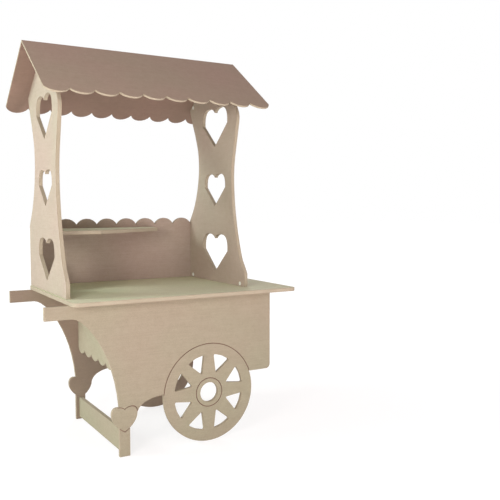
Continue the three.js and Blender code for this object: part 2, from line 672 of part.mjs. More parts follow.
// The boards
const top = tabletop();
const frontSide = sidePanel('front_side_panel', BODY_FRONT_Y + BOARD, true);
const backSide = sidePanel('back_side_panel', BODY_BACK_Y, false);
const rightApronX = PANEL_RIGHT_X - RIGHT_APRON_INSET - BOARD / 2;
const leftApron = endApron('left_end_apron', LEG_X - BOARD / 2, LEFT_APRON_TOP);
const rightApron = endApron('right_end_apron', rightApronX - BOARD / 2, RIGHT_APRON_TOP);
const stretcher = legStretcher();
const leftPost = post('left_post', -POST_X);
const rightPost = post('right_post', POST_X - BOARD);
const rearPanel = backPanel();
const ledge = shelf();
const roofBack = roofPanel('roof_back', false);
const roofFront = roofPanel('roof_front', true);

// Posts: two cams in each foot, two in each gable
function fixPost(side, holder) {
  const x = side * (POST_X - BOARD / 2);
  const inward = at(-side, 0, 0);
  const name = holder.name;
  const footY = POST_Y - POST_CAM_INSET;
  camJoint(`${name}_foot_front`, holder, top, at(x, -footY, POST_FOOT_Z), Z_AXIS, inward);
  camJoint(`${name}_foot_back`, holder, top, at(x, footY, POST_FOOT_Z), Z_AXIS, inward);
  const gable = (end, reachY, roof, label) => {
    const seat = at(x, end * reachY, gableHeight(reachY));
    const into = at(0, -end * Math.sin(ROOF_PITCH), -Math.cos(ROOF_PITCH));
    camJoint(`${name}_gable_${label}`, holder, roof, seat, into, inward, ROOF_THREAD_LENGTH);
  };
  gable(-1, GABLE_FRONT_REACH - GABLE_CAM_INSET, roofFront, 'front');
  gable(1, GABLE_BACK_REACH - GABLE_CAM_INSET, roofBack, 'back');
}
fixPost(-1, leftPost);
fixPost(1, rightPost);

// Side panels under the tabletop
function fixTop(holder, y, inward) {
  const z = TABLE_UNDERSIDE - SEAT_GAP;
  const down = at(0, 0, -1);
  const places = [
    ['left', TABLE_LEFT_X + TABLE_CAM_LEFT],
    ['right', PANEL_RIGHT_X - TABLE_CAM_RIGHT],
  ];
  places.forEach(([label, x]) => {
    camJoint(`${holder.name}_top_${label}`, holder, top, at(x, y, z), down, at(0, inward, 0));
  });
}
fixTop(frontSide, BODY_FRONT_Y + BOARD / 2, 1);
fixTop(backSide, BODY_BACK_Y - BOARD / 2, -1);

// Where a cross board's two ends stand: its end's place, the way in, and the panel it meets
const crossEnds = [
  { label: 'front', y: BODY_FRONT_Y + BOARD + SEAT_GAP, into: Y_AXIS, panel: frontSide },
  { label: 'back', y: BODY_BACK_Y - BOARD - SEAT_GAP, into: at(0, -1, 0), panel: backSide },
];

crossEnds.forEach(({ label, y, into, panel }) => {
  const drop = APRON_CAM_DROP;
  const left = at(LEG_X, y, LEFT_APRON_TOP - drop);
  const right = at(rightApronX, y, RIGHT_APRON_TOP - drop);
  camJoint(`${leftApron.name}_${label}`, leftApron, panel, left, into, X_AXIS);
  camJoint(`${rightApron.name}_${label}`, rightApron, panel, right, into, at(-1, 0, 0));
  const lower = at(LEG_X, y, STRETCHER_BOTTOM + STRETCHER_DOWEL_INSET);
  const upper = at(LEG_X, y, STRETCHER_BOTTOM + STRETCHER_HEIGHT - STRETCHER_DOWEL_INSET);
  dowelJoint(`leg_stretcher_${label}_lower_dowel`, stretcher, panel, lower, into);
  dowelJoint(`leg_stretcher_${label}_upper_dowel`, stretcher, panel, upper, into);
});

// Back panel between the posts
[[-1, leftPost], [1, rightPost]].forEach(([side, receiver]) => {
  const seat = (z) => at(side * (POST_X - BOARD - SEAT_GAP), POST_Y - BOARD / 2, z);
  const into = at(-side, 0, 0);
  const lower = seat(TABLE_HEIGHT + BACK_DOWEL_INSET);
  const upper = seat(BACK_PANEL_TOP - BACK_DOWEL_INSET);
  dowelJoint(`back_panel_${receiver.name}_lower_dowel`, rearPanel, receiver, lower, into);
  dowelJoint(`back_panel_${receiver.name}_upper_dowel`, rearPanel, receiver, upper, into);
});

// Shelf against the left post and the back panel
function fixShelf() {
  const left = -POST_X + BOARD + SEAT_GAP;
  const back = POST_Y - BOARD - SEAT_GAP;
  const z = SHELF_UNDERSIDE + BOARD / 2;
  const front = back - SHELF_LEFT_DEPTH;
  const inset = SHELF_DOWEL_INSET;
  dowelJoint('shelf_post_front_dowel', ledge, leftPost, at(left, front + inset, z), X_AXIS);
  dowelJoint('shelf_post_back_dowel', ledge, leftPost, at(left, back - inset, z), X_AXIS);
  const away = at(0, -1, 0);
  dowelJoint('shelf_back_left_dowel', ledge, rearPanel, at(left + inset, back, z), away);
  dowelJoint('shelf_back_right_dowel', ledge, rearPanel, at(left + SHELF_LENGTH - inset, back, z), away);
}
fixShelf();

function groupOf(name, members) {
  const group = new THREE.Group();
  group.name = name;
  members.forEach((member) => group.add(member));
  return group;
}

const base = [frontSide, backSide, leftApron, rightApron, stretcher, top];
const display = [leftPost, rightPost, rearPanel, ledge];
const canopy = [roofFront, roofBack];
const cart = groupOf('candy_buffet_cart', [
  groupOf('base_boards', base.map((board) => board.mesh())),
  groupOf('display_boards', display.map((board) => board.mesh())),
  groupOf('roof_boards', canopy.map((board) => board.mesh())),
  groupOf('fixings', fixings),
]);

// Origin on the floor under the middle of the overall box
const eavesReach = (ROOF_SLOPE_LENGTH + ROOF_SCALLOP) * Math.cos(ROOF_PITCH);
const lowX = Math.min(HANDLE_TIP_X, -ROOF_LENGTH / 2);
const highX = Math.max(TABLE_RIGHT_X, ROOF_LENGTH / 2);
const lowY = Math.min(TABLE_FRONT_Y, -eavesReach);
const highY = Math.max(TABLE_BACK_Y, eavesReach);
cart.position.set(-(lowX + highX) / 2, -(lowY + highY) / 2, 0);

export default cart;
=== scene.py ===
"""Looks of a flat-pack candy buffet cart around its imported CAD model.

Every board of the cart is a sheet of medium density fibreboard. Each one is taken over from
its CAD node, its facets are joined to clean faces, its arrises are eased, and its faces, cut
edges and routed lines get finishes of their own. The cam caps, bolts and dowels follow in the
same way. Lengths are in metres unless a name ends in _mm.
"""

import logging
import math
from dataclasses import dataclass, field
from enum import Enum, IntEnum

import bpy
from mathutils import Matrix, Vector


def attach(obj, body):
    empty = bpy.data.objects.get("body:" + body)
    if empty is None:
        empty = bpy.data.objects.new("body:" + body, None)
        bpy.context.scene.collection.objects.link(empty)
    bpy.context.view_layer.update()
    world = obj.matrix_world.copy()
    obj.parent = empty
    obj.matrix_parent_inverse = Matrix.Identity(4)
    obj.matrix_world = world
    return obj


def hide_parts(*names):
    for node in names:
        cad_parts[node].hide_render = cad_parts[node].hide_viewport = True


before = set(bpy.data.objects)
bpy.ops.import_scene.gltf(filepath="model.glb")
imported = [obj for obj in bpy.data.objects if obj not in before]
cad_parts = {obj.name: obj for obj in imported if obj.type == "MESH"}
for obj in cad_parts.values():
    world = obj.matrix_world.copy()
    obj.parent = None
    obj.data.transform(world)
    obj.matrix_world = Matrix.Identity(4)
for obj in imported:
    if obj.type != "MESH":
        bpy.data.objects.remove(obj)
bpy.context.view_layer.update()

MILLIMETRE = 0.001

# Turns between two neighbouring faces: below FLAT_TURN they become one face, above ARRIS_TURN
# the edge between them is eased, and below SMOOTH_TURN they are shaded as one curve.
FLAT_TURN = math.radians(0.6)
ARRIS_TURN = math.radians(40)
SMOOTH_TURN = math.radians(35)

# Faces that make up an eased arris, and the size of slivers that a weld clears away, as a
# share of its own distance.
ARRIS_STEPS = 2
SLIVER_SHARE = 0.2

# The curve between a display colour and a linear one.
DISPLAY_KNEE = 0.04045
DISPLAY_SLOPE = 12.92
DISPLAY_OFFSET = 0.055
DISPLAY_POWER = 2.4

# Where a board keeps how far each point lies through its thickness, from 0 to 1.
DEPTH_LAYER = "board_depth"

log = logging.getLogger("candy_cart")

Colour = tuple[float, float, float]
Place = tuple[float, float, float]
Tones = tuple[tuple[float, Colour], ...]

UNTINTED: Colour = (1.0, 1.0, 1.0)


def linear_channel(value: float) -> float:
    """Turns one channel of a display colour into a linear one.

    Args:
        value: The channel as shown on a screen, from 0 to 1.

    Returns:
        The channel as the shaders read it.
    """
    if value <= DISPLAY_KNEE:
        return value / DISPLAY_SLOPE
    return ((value + DISPLAY_OFFSET) / (1.0 + DISPLAY_OFFSET)) ** DISPLAY_POWER


def linear(colour: Colour) -> tuple[float, float, float, float]:
    """Turns a display colour into a linear one with full alpha."""
    red, green, blue = (linear_channel(value) for value in colour)
    return red, green, blue, 1.0


def tinted(colour: Colour, tint: Colour) -> Colour:
    """Multiplies a colour by a tint, channel by channel."""
    red, green, blue = (value * share for value, share in zip(colour, tint))
    return red, green, blue


def shaded(colour: Colour, share: float) -> Colour:
    """Multiplies a colour by one share: darker below 1 and lighter above."""
    return tinted(colour, (share, share, share))


class Run(Enum):
    """Which way sanding marks run over a board, as the noise's scale along X, Y and Z."""

    ALONG_X = (1.5, 42.0, 42.0)
    ALONG_Y = (42.0, 1.5, 42.0)


class Surface(IntEnum):
    """The material slots of a board, in their order."""

    FACE = 0
    EDGE = 1
    LINE = 2
    # Faces that look down, with a darker copy of the face: painted shade.
    UNDER_PAINTED_SHADE = 3


@dataclass(frozen=True)
class Grain:
    """A noise: lumps to a metre, octaves, and how strong the finer octaves are."""

    scale: float
    detail: float
    roughness: float = 0.5


@dataclass(frozen=True)
class Layer:
    """Tones that darken a colour by a noise, and how much of them shows."""

    grain: Grain
    tones: Tones
    share: float


@dataclass(frozen=True)
class Relief:
    """A fine bump: its noise, its share, and its height in metres."""

    grain: Grain
    strength: float
    depth: float


class Nodes:
    """The node tree of a material or a world, with short calls to add and join nodes."""

    def __init__(self, tree: bpy.types.NodeTree) -> None:
        """Takes over a tree and empties it."""
        self.tree = tree
        self.tree.nodes.clear()

    def add(self, kind: str, **values: object) -> bpy.types.Node:
        """Adds a node and sets its properties.

        Args:
            kind: Blender's name of the node type.
            values: Properties by name.

        Returns:
            The new node.
        """
        node = self.tree.nodes.new(kind)
        for name, value in values.items():
            setattr(node, name, value)
        return node

    def join(self, source: bpy.types.Node, output: str | int,
             target: bpy.types.Node, entry: str | int) -> None:
        """Links an output socket to an input socket.

        Args:
            source: The node that gives.
            output: Its socket, by name or by place.
            target: The node that takes.
            entry: Its socket, by name or by place.
        """
        self.tree.links.new(source.outputs[output], target.inputs[entry])

    def blend(self, share: bpy.types.Node, output: str,
              first: bpy.types.Node, second: bpy.types.Node) -> bpy.types.Node:
        """Mixes the shaders of two nodes.

        Args:
            share: The node that gives the second shader's share.
            output: Its socket.
            first: Node with a shader as its first output.
            second: Node with a shader as its first output.

        Returns:
            The mix node, whose Shader output is the result.
        """
        node = self.add("ShaderNodeMixShader")
        self.join(share, output, node, "Fac")
        self.join(first, 0, node, 1)
        self.join(second, 0, node, 2)
        return node

    def seen_directly(self) -> bpy.types.Node:
        """Adds a value that is 1 for what the camera, a gloss or a clear piece shows.

        Returns:
            The node whose Value output it is.
        """
        path = self.add("ShaderNodeLightPath")
        seen, output = path, "Is Camera Ray"
        for ray in ("Is Glossy Ray", "Is Transmission Ray"):
            either = self.add("ShaderNodeMath", operation="MAXIMUM")
            self.join(seen, output, either, 0)
            self.join(path, ray, either, 1)
            seen, output = either, "Value"
        return seen


class Coat(Nodes):
    """A material's nodes: its shader, its output, and what a finish is made up of."""

    def __init__(self, name: str) -> None:
        """Makes a material with a plain shader.

        Args:
            name: The material's name.
        """
        self.material = bpy.data.materials.new(name)
        self.material.use_nodes = True
        super().__init__(self.material.node_tree)
        self.shader = self.add("ShaderNodeBsdfPrincipled")
        self.output = self.add("ShaderNodeOutputMaterial")
        self.join(self.shader, "BSDF", self.output, "Surface")
        self.place = self.add("ShaderNodeTexCoord")

    def fix(self, entry: str, value: float) -> None:
        """Gives one of the shader's inputs a fixed value."""
        self.shader.inputs[entry].default_value = value

    def paint(self, colour: bpy.types.Node) -> None:
        """Gives the shader a node's Color output as its colour."""
        self.join(colour, "Color", self.shader, "Base Color")

    def noise(self, grain: Grain, run: Run | None = None) -> bpy.types.Node:
        """Adds a noise on object coordinates.

        Args:
            grain: What the noise looks like.
            run: Which way it is drawn out, or None.

        Returns:
            The noise node, whose Fac output runs from 0 to 1.
        """
        texture = self.add("ShaderNodeTexNoise")
        texture.inputs["Scale"].default_value = grain.scale
        texture.inputs["Detail"].default_value = grain.detail
        texture.inputs["Roughness"].default_value = grain.roughness
        if run is None:
            self.join(self.place, "Object", texture, "Vector")
        else:
            mapping = self.add("ShaderNodeMapping")
            mapping.inputs["Scale"].default_value = run.value
            self.join(self.place, "Object", mapping, "Vector")
            self.join(mapping, "Vector", texture, "Vector")
        return texture

    def ramp(self, source: bpy.types.Node, tones: Tones) -> bpy.types.Node:
        """Adds a colour ramp after a node's Fac output.

        Args:
            source: The node that gives the value.
            tones: Positions with display colours.

        Returns:
            The ramp node, whose Color output is the result.
        """
        node = self.add("ShaderNodeValToRGB")
        elements = node.color_ramp.elements
        while len(elements) < len(tones):
            elements.new(1.0)
        for element, (position, colour) in zip(elements, tones):
            element.position = position
            element.color = linear(colour)
        self.join(source, "Fac", node, "Fac")
        return node

    def wander(self, grain: Grain, first: Colour, second: Colour,
               low: float = 0.35, high: float = 0.65) -> bpy.types.Node:
        """Adds a colour that wanders between two.

        Args:
            grain: The noise that it follows.
            first: Its colour where the noise is at the lower value.
            second: Its colour where the noise is at the higher value.
            low: The lower value.
            high: The higher value.

        Returns:
            The ramp node, whose Color output is the result.
        """
        return self.ramp(self.noise(grain), ((low, first), (high, second)))

    def layered(self, colour: bpy.types.Node, layer: Layer,
                run: Run | None = None) -> bpy.types.Node:
        """Darkens a colour by a layer of tones.

        Args:
            colour: Node that gives the colour.
            layer: What lies over it.
            run: Which way the layer is drawn out, or None.

        Returns:
            The mix node, whose Color output is the result.
        """
        tones = self.ramp(self.noise(layer.grain, run), layer.tones)
        node = self.add("ShaderNodeMixRGB", blend_type="MULTIPLY")
        node.inputs["Fac"].default_value = layer.share
        self.join(colour, "Color", node, "Color1")
        self.join(tones, "Color", node, "Color2")
        return node

    def between(self, source: bpy.types.Node, output: str,
                low: float, high: float) -> bpy.types.Node:
        """Maps a value from 0 to 1 to another range.

        Args:
            source: The node that gives the value.
            output: Its socket.
            low: Result at 0.
            high: Result at 1.

        Returns:
            The map range node, whose Result output is the new value.
        """
        node = self.add("ShaderNodeMapRange")
        node.inputs["To Min"].default_value = low
        node.inputs["To Max"].default_value = high
        self.join(source, output, node, "Value")
        return node

    def roughen(self, grain: Grain, low: float, high: float) -> None:
        """Lets the shader's roughness wander between two values.

        Args:
            grain: The noise that it follows.
            low: The smoothest value.
            high: The roughest value.
        """
        rough = self.between(self.noise(grain), "Fac", low, high)
        self.join(rough, "Result", self.shader, "Roughness")

    def bump(self, relief: Relief, run: Run | None = None,
             under: bpy.types.Node | None = None) -> bpy.types.Node:
        """Adds a bump and makes it the shader's normal.

        Args:
            relief: What the bump looks like.
            run: Which way it is drawn out, or None.
            under: A bump that this one lies on, or None.

        Returns:
            The bump node.
        """
        height = self.noise(relief.grain, run)
        node = self.add("ShaderNodeBump")
        node.inputs["Strength"].default_value = relief.strength
        node.inputs["Distance"].default_value = relief.depth
        self.join(height, "Fac", node, "Height")
        if under is not None:
            self.join(under, "Normal", node, "Normal")
        self.join(node, "Normal", self.shader, "Normal")
        return node


@dataclass(frozen=True)
class SandedFace:
    """The sanded face of a fibreboard sheet: close fibres, faint clouds and sanding marks."""

    name: str
    colour: Colour
    run: Run
    warm: Colour = (1.012, 0.988, 0.99)
    cool: Colour = (0.99, 1.006, 0.985)
    clouds: Grain = Grain(2.0, 2.0)
    fibres: Layer = Layer(
        Grain(420.0, 5.0, 0.72),
        ((0.3, (0.62, 0.56, 0.5)), (0.46, (0.86, 0.84, 0.81)), (0.6, UNTINTED)),
        0.3,
    )
    marks: Layer = Layer(
        Grain(6.0, 6.0, 0.65),
        ((0.3, (0.88, 0.86, 0.84)), (0.7, UNTINTED)),
        0.36,
    )
    mottle: Layer = Layer(
        Grain(34.0, 5.0, 0.6),
        ((0.3, (0.9, 0.885, 0.87)), (0.7, UNTINTED)),
        0.3,
    )
    wear: Grain = Grain(60.0, 4.0)
    smoothest: float = 0.66
    roughest: float = 0.86
    gloss: float = 0.3
    brushed: Relief = Relief(Grain(14.0, 4.0, 0.6), 0.12, 0.4 * MILLIMETRE)
    nap: Relief = Relief(Grain(900.0, 3.0, 0.7), 0.16, 0.25 * MILLIMETRE)

    def material(self) -> bpy.types.Material:
        """Makes the finish's material.

        Returns:
            The new material.
        """
        coat = Coat(self.name)
        warm = tinted(self.colour, self.warm)
        cool = tinted(self.colour, self.cool)
        base = coat.wander(self.clouds, warm, cool)
        base = coat.layered(base, self.fibres)
        base = coat.layered(base, self.marks, self.run)
        base = coat.layered(base, self.mottle)
        coat.paint(base)
        coat.roughen(self.wear, self.smoothest, self.roughest)
        coat.fix("Specular IOR Level", self.gloss)
        brushed = coat.bump(self.brushed, self.run)
        coat.bump(self.nap, under=brushed)
        return coat.material


@dataclass(frozen=True)
class CutEdge:
    """A routed edge: two dense skins with a looser, fuzzier core between them."""

    name: str
    skin: Colour
    core: Colour
    skin_to: float = 0.02
    core_from: float = 0.2
    fuzz: Layer = Layer(
        Grain(700.0, 4.0, 0.75),
        ((0.28, (0.7, 0.64, 0.58)), (0.5, (0.93, 0.92, 0.9)), (0.65, UNTINTED)),
        0.4,
    )
    drift: Layer = Layer(
        Grain(7.0, 4.0),
        ((0.3, (0.92, 0.905, 0.89)), (0.7, UNTINTED)),
        0.6,
    )
    roughness: float = 0.88
    gloss: float = 0.2
    torn: Relief = Relief(Grain(800.0, 4.0, 0.75), 0.3, 0.4 * MILLIMETRE)

    def material(self) -> bpy.types.Material:
        """Makes the finish's material.

        Returns:
            The new material.
        """
        coat = Coat(self.name)
        base = coat.ramp(
            coat.add("ShaderNodeAttribute", attribute_name=DEPTH_LAYER),
            (
                (self.skin_to, self.skin),
                (self.core_from, self.core),
                (1.0 - self.core_from, self.core),
                (1.0 - self.skin_to, self.skin),
            ),
        )
        base = coat.layered(base, self.fuzz)
        base = coat.layered(base, self.drift)
        coat.paint(base)
        coat.fix("Roughness", self.roughness)
        coat.fix("Specular IOR Level", self.gloss)
        coat.bump(self.torn)
        return coat.material


@dataclass(frozen=True)
class RoutedLine:
    """The bottom and walls of a shallow routed line, darker than the board: painted shade in the
    groove.
    """

    name: str
    colour: Colour
    lift: float = 1.25
    groove_mottle: Grain = Grain(45.0, 5.0, 0.7)
    groove_mottle_end: float = 0.7
    roughness: float = 0.92
    gloss: float = 0.1
    torn: Relief = Relief(Grain(900.0, 3.0, 0.7), 0.3, 0.3 * MILLIMETRE)

    def material(self) -> bpy.types.Material:
        """Makes the finish's material.

        Returns:
            The new material.
        """
        coat = Coat(self.name)
        lighter = shaded(self.colour, self.lift)
        coat.paint(coat.wander(self.groove_mottle, self.colour, lighter, high=self.groove_mottle_end))
        coat.fix("Roughness", self.roughness)
        coat.fix("Specular IOR Level", self.gloss)
        coat.bump(self.torn)
        return coat.material


@dataclass(frozen=True)
class MouldedPlastic:
    """Off-white moulded plastic with a fine satin grain."""

    name: str
    colour: Colour
    fade: float = 0.95
    flow: Grain = Grain(160.0, 3.0)
    wear: Grain = Grain(500.0, 3.0)
    smoothest: float = 0.34
    roughest: float = 0.5
    satin: Relief = Relief(Grain(2600.0, 2.0), 0.08, 0.1 * MILLIMETRE)

    def material(self) -> bpy.types.Material:
        """Makes the finish's material.

        Returns:
            The new material.
        """
        coat = Coat(self.name)
        duller = shaded(self.colour, self.fade)
        coat.paint(coat.wander(self.flow, duller, self.colour))
        coat.roughen(self.wear, self.smoothest, self.roughest)
        coat.bump(self.satin)
        return coat.material


@dataclass(frozen=True)
class PlatedSteel:
    """Zinc-plated steel: cloudy, bright and a little blue."""

    name: str
    colour: Colour
    fade: float = 0.82
    spangle: Grain = Grain(260.0, 4.0, 0.6)
    wear: Grain = Grain(420.0, 3.0)
    smoothest: float = 0.24
    roughest: float = 0.44
    drawn: Relief = Relief(Grain(1800.0, 2.0), 0.1, 0.1 * MILLIMETRE)

    def material(self) -> bpy.types.Material:
        """Makes the finish's material.

        Returns:
            The new material.
        """
        coat = Coat(self.name)
        darker = shaded(self.colour, self.fade)
        coat.paint(coat.wander(self.spangle, darker, self.colour))
        coat.fix("Metallic", 1.0)
        coat.roughen(self.wear, self.smoothest, self.roughest)
        coat.bump(self.drawn)
        return coat.material


@dataclass(frozen=True)
class BeechDowel:
    """Raw turned beech: short flecks and fine grain."""

    name: str
    colour: Colour
    fade: float = 0.8
    rings: Grain = Grain(90.0, 6.0, 0.7)
    rings_from: float = 0.3
    rings_to: float = 0.7
    flecks: Layer = Layer(
        Grain(900.0, 3.0, 0.6),
        ((0.35, (0.78, 0.68, 0.56)), (0.5, UNTINTED)),
        0.5,
    )
    roughness: float = 0.7
    turned: Relief = Relief(Grain(700.0, 4.0, 0.7), 0.25, 0.2 * MILLIMETRE)

    def material(self) -> bpy.types.Material:
        """Makes the finish's material.

        Returns:
            The new material.
        """
        coat = Coat(self.name)
        darker = shaded(self.colour, self.fade)
        rings = coat.wander(self.rings, darker, self.colour, self.rings_from, self.rings_to)
        coat.paint(coat.layered(rings, self.flecks))
        coat.fix("Roughness", self.roughness)
        coat.bump(self.turned)
        return coat.material


Finish = SandedFace | CutEdge | RoutedLine | MouldedPlastic | PlatedSteel | BeechDowel


@dataclass
class Finishes:
    """Every finish of the cart, made once and shared by the pieces."""

    # The sanded faces are all one fibreboard; their colours differ board by board only as
    # painted light and shade, each matched to how light falls on that board.
    base_face: SandedFace = SandedFace("sanded_board", (0.63, 0.6, 0.52), Run.ALONG_X)
    # Darker and pinker than the front side panel: painted shade on the rear side panel.
    rear_face_painted_shade: SandedFace = SandedFace("sanded_rear_board_painted_shade", (0.61, 0.55, 0.49), Run.ALONG_X)
    # Lighter than the side panels: painted light on the end aprons and the stretcher.
    cross_face_painted_light: SandedFace = SandedFace("sanded_cross_board_painted_light", (0.66, 0.64, 0.55), Run.ALONG_Y)
    # Lighter than the side panels: painted light on the posts.
    post_face_painted_light: SandedFace = SandedFace("sanded_post_painted_light", (0.71, 0.66, 0.6), Run.ALONG_Y)
    # Lighter than the side panels: painted light on the back panel.
    back_face_painted_light: SandedFace = SandedFace("sanded_back_panel_painted_light", (0.69, 0.63, 0.58), Run.ALONG_X)
    # Lighter and greener than the other boards: painted light and painted sheen from above, on
    # the tabletop and the shelf.
    top_face_painted_light: SandedFace = SandedFace("sanded_tabletop_painted_light", (0.85, 0.87, 0.75), Run.ALONG_X)
    # Darker and pinker than the other boards: painted shade on the roof, where little light
    # falls from above.
    roof_face_painted_shade: SandedFace = SandedFace("sanded_roof_painted_shade", (0.67, 0.59, 0.53), Run.ALONG_X)
    # Darker again than the roof's top: painted shade on the faces that look down under the roof.
    roof_under_painted_shade: SandedFace = SandedFace("sanded_roof_underside_painted_shade", (0.56, 0.47, 0.42), Run.ALONG_X)
    edge: CutEdge = CutEdge("routed_edge", (0.65, 0.6, 0.52), (0.69, 0.65, 0.57))
    # Dark brown: painted shade in the routed grooves.
    line: RoutedLine = RoutedLine("routed_line_painted_shade", (0.42, 0.34, 0.29))
    cap: MouldedPlastic = MouldedPlastic("cam_plastic", (0.9, 0.91, 0.87))
    steel: PlatedSteel = PlatedSteel("zinc_steel", (0.76, 0.78, 0.8))
    beech: BeechDowel = BeechDowel("raw_beech", (0.83, 0.7, 0.53))
    made: dict[str, bpy.types.Material] = field(default_factory=dict)

    def get(self, finish: Finish) -> bpy.types.Material:
        """Gives a finish's material, made on first use.

        Args:
            finish: One of the finishes.

        Returns:
            Its material.
        """
        if finish.name not in self.made:
            self.made[finish.name] = finish.material()
        return self.made[finish.name]


def select_only(piece: bpy.types.Object) -> None:
    """Deselects everything, then selects one object and makes it active.

    Args:
        piece: The object that the next operators work on.
    """
    bpy.ops.object.select_all(action="DESELECT")
    piece.select_set(True)
    bpy.context.view_layer.objects.active = piece


def apply_modifier(piece: bpy.types.Object, kind: str, **values: object) -> None:
    """Adds a modifier with its settings and applies it.

    Args:
        piece: The object to change.
        kind: Blender's name of the modifier type.
        values: Settings by name.
    """
    select_only(piece)
    bpy.ops.object.modifier_add(type=kind)
    modifier = piece.modifiers[-1]
    for name, value in values.items():
        setattr(modifier, name, value)
    bpy.ops.object.modifier_apply(modifier=modifier.name)


def taken_over(node: str, name: str, weld: float) -> bpy.types.Object:
    """Copies a CAD node's mesh, merges its loose triangles and joins flat ones to clean faces.

    Args:
        node: The CAD node.
        name: Name of the new piece.
        weld: Points nearer than this are merged.

    Returns:
        The new piece, open for further work.
    """
    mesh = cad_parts[node].data.copy()
    mesh.materials.clear()
    piece = bpy.data.objects.new(name, mesh)
    bpy.context.scene.collection.objects.link(piece)
    select_only(piece)
    bpy.ops.object.mode_set(mode="EDIT")
    bpy.ops.mesh.select_all(action="SELECT")
    bpy.ops.mesh.customdata_custom_splitnormals_clear()
    bpy.ops.mesh.remove_doubles(threshold=weld)
    bpy.ops.mesh.dissolve_degenerate(threshold=weld * SLIVER_SHARE)
    bpy.ops.mesh.dissolve_limited(angle_limit=FLAT_TURN)
    bpy.ops.mesh.normals_make_consistent(inside=False)
    bpy.ops.object.mode_set(mode="OBJECT")
    return piece


def ease(piece: bpy.types.Object, width: float, clamp: bool) -> None:
    """Eases a piece's arrises with a small round.

    Args:
        piece: The object to change.
        width: How far the round reaches on each side.
        clamp: Whether rounds stop before they meet and slide along the edges beside them.
    """
    apply_modifier(
        piece, "BEVEL", width=width, segments=ARRIS_STEPS, limit_method="ANGLE",
        angle_limit=ARRIS_TURN, use_clamp_overlap=clamp, loop_slide=clamp,
    )


def smooth(piece: bpy.types.Object) -> None:
    """Shades a piece's curves smooth and keeps its corners sharp."""
    select_only(piece)
    bpy.ops.object.shade_smooth_by_angle(angle=SMOOTH_TURN)


def hand_over(piece: bpy.types.Object, node: str) -> bpy.types.Object:
    """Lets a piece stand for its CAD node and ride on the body.

    Args:
        piece: The finished piece.
        node: The CAD node that it replaces.

    Returns:
        The piece.
    """
    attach(piece, "root")
    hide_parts(node)
    log.info("%s: %d faces for %s", piece.name, len(piece.data.polygons), node)
    return piece


@dataclass
class Board:
    """One board of the cart, taken over from its node and dressed face by face.

    What lies less than flush under a face belongs to it, and what goes down to between
    line_from and line_to belongs to a routed line.
    """

    node: str
    face: SandedFace
    edge: CutEdge
    line: RoutedLine
    # A darker finish for the faces that look down: painted shade.
    under: SandedFace | None = None
    weld: float = 0.5 * MILLIMETRE
    arris: float = 0.7 * MILLIMETRE
    flush: float = 0.07 * MILLIMETRE
    line_from: float = 0.98 * MILLIMETRE
    line_to: float = 3.3 * MILLIMETRE
    face_weight: int = 80

    def build(self, finishes: Finishes) -> bpy.types.Object:
        """Builds the board.

        Args:
            finishes: Where the materials come from.

        Returns:
            The finished piece.
        """
        piece = taken_over(self.node, f"{self.node}_board", self.weld)
        ease(piece, self.arris, clamp=False)
        self.dress(piece, finishes)
        smooth(piece)
        apply_modifier(piece, "WEIGHTED_NORMAL", keep_sharp=True, weight=self.face_weight)
        return hand_over(piece, self.node)

    def dress(self, piece: bpy.types.Object, finishes: Finishes) -> None:
        """Gives faces, edges and routed lines their materials, and points their depth.

        Args:
            piece: The board's object.
            finishes: Where the materials come from.
        """
        mesh = piece.data
        for finish in (self.face, self.edge, self.line, self.under or self.face):
            mesh.materials.append(finishes.get(finish))
        widest = max(mesh.polygons, key=lambda polygon: polygon.area)
        across = Vector(widest.normal)
        heights = [point.co.dot(across) for point in mesh.vertices]
        low, thickness = min(heights), max(heights) - min(heights)
        depths = [(height - low) / thickness for height in heights]
        layer = mesh.attributes.new(DEPTH_LAYER, "FLOAT", "POINT")
        layer.data.foreach_set("value", depths)
        sunk = [min(depth, 1 - depth) * thickness for depth in depths]
        for polygon in mesh.polygons:
            deepest = max(sunk[index] for index in polygon.vertices)
            polygon.material_index = self.surface(deepest, polygon.normal.z < 0)

    def surface(self, deepest: float, looks_down: bool) -> Surface:
        """Tells which part of the board a polygon is.

        Args:
            deepest: How far its deepest point lies under the nearer face.
            looks_down: Whether it looks down.

        Returns:
            The slot of its material.
        """
        if deepest < self.flush:
            # Faces that look down get the under finish, which is painted shade.
            return Surface.UNDER_PAINTED_SHADE if self.under and looks_down else Surface.FACE
        if self.line_from < deepest < self.line_to:
            return Surface.LINE
        return Surface.EDGE


def build_boards(faces: dict[str, SandedFace], finishes: Finishes) -> list[bpy.types.Object]:
    """Builds boards with the same finish on both sides.

    Args:
        faces: What each board's sides get, by CAD node.
        finishes: Where the materials come from.

    Returns:
        The finished pieces.
    """
    return [
        Board(node, face, finishes.edge, finishes.line).build(finishes)
        for node, face in faces.items()
    ]


@dataclass
class Base:
    """Side panels, cross boards and tabletop."""

    front: str = "front_side_panel"
    rear: str = "back_side_panel"
    cross_boards: tuple[str, ...] = ("left_end_apron", "right_end_apron", "leg_stretcher")
    top: str = "tabletop"

    def build(self, finishes: Finishes) -> list[bpy.types.Object]:
        """Builds the boards under the posts.

        Args:
            finishes: Where the materials come from.

        Returns:
            The finished pieces.
        """
        faces = {node: finishes.cross_face_painted_light for node in self.cross_boards}
        faces[self.front] = finishes.base_face
        # The rear side panel gets a face with painted shade.
        faces[self.rear] = finishes.rear_face_painted_shade
        # The tabletop gets a face with painted light and sheen.
        faces[self.top] = finishes.top_face_painted_light
        return build_boards(faces, finishes)


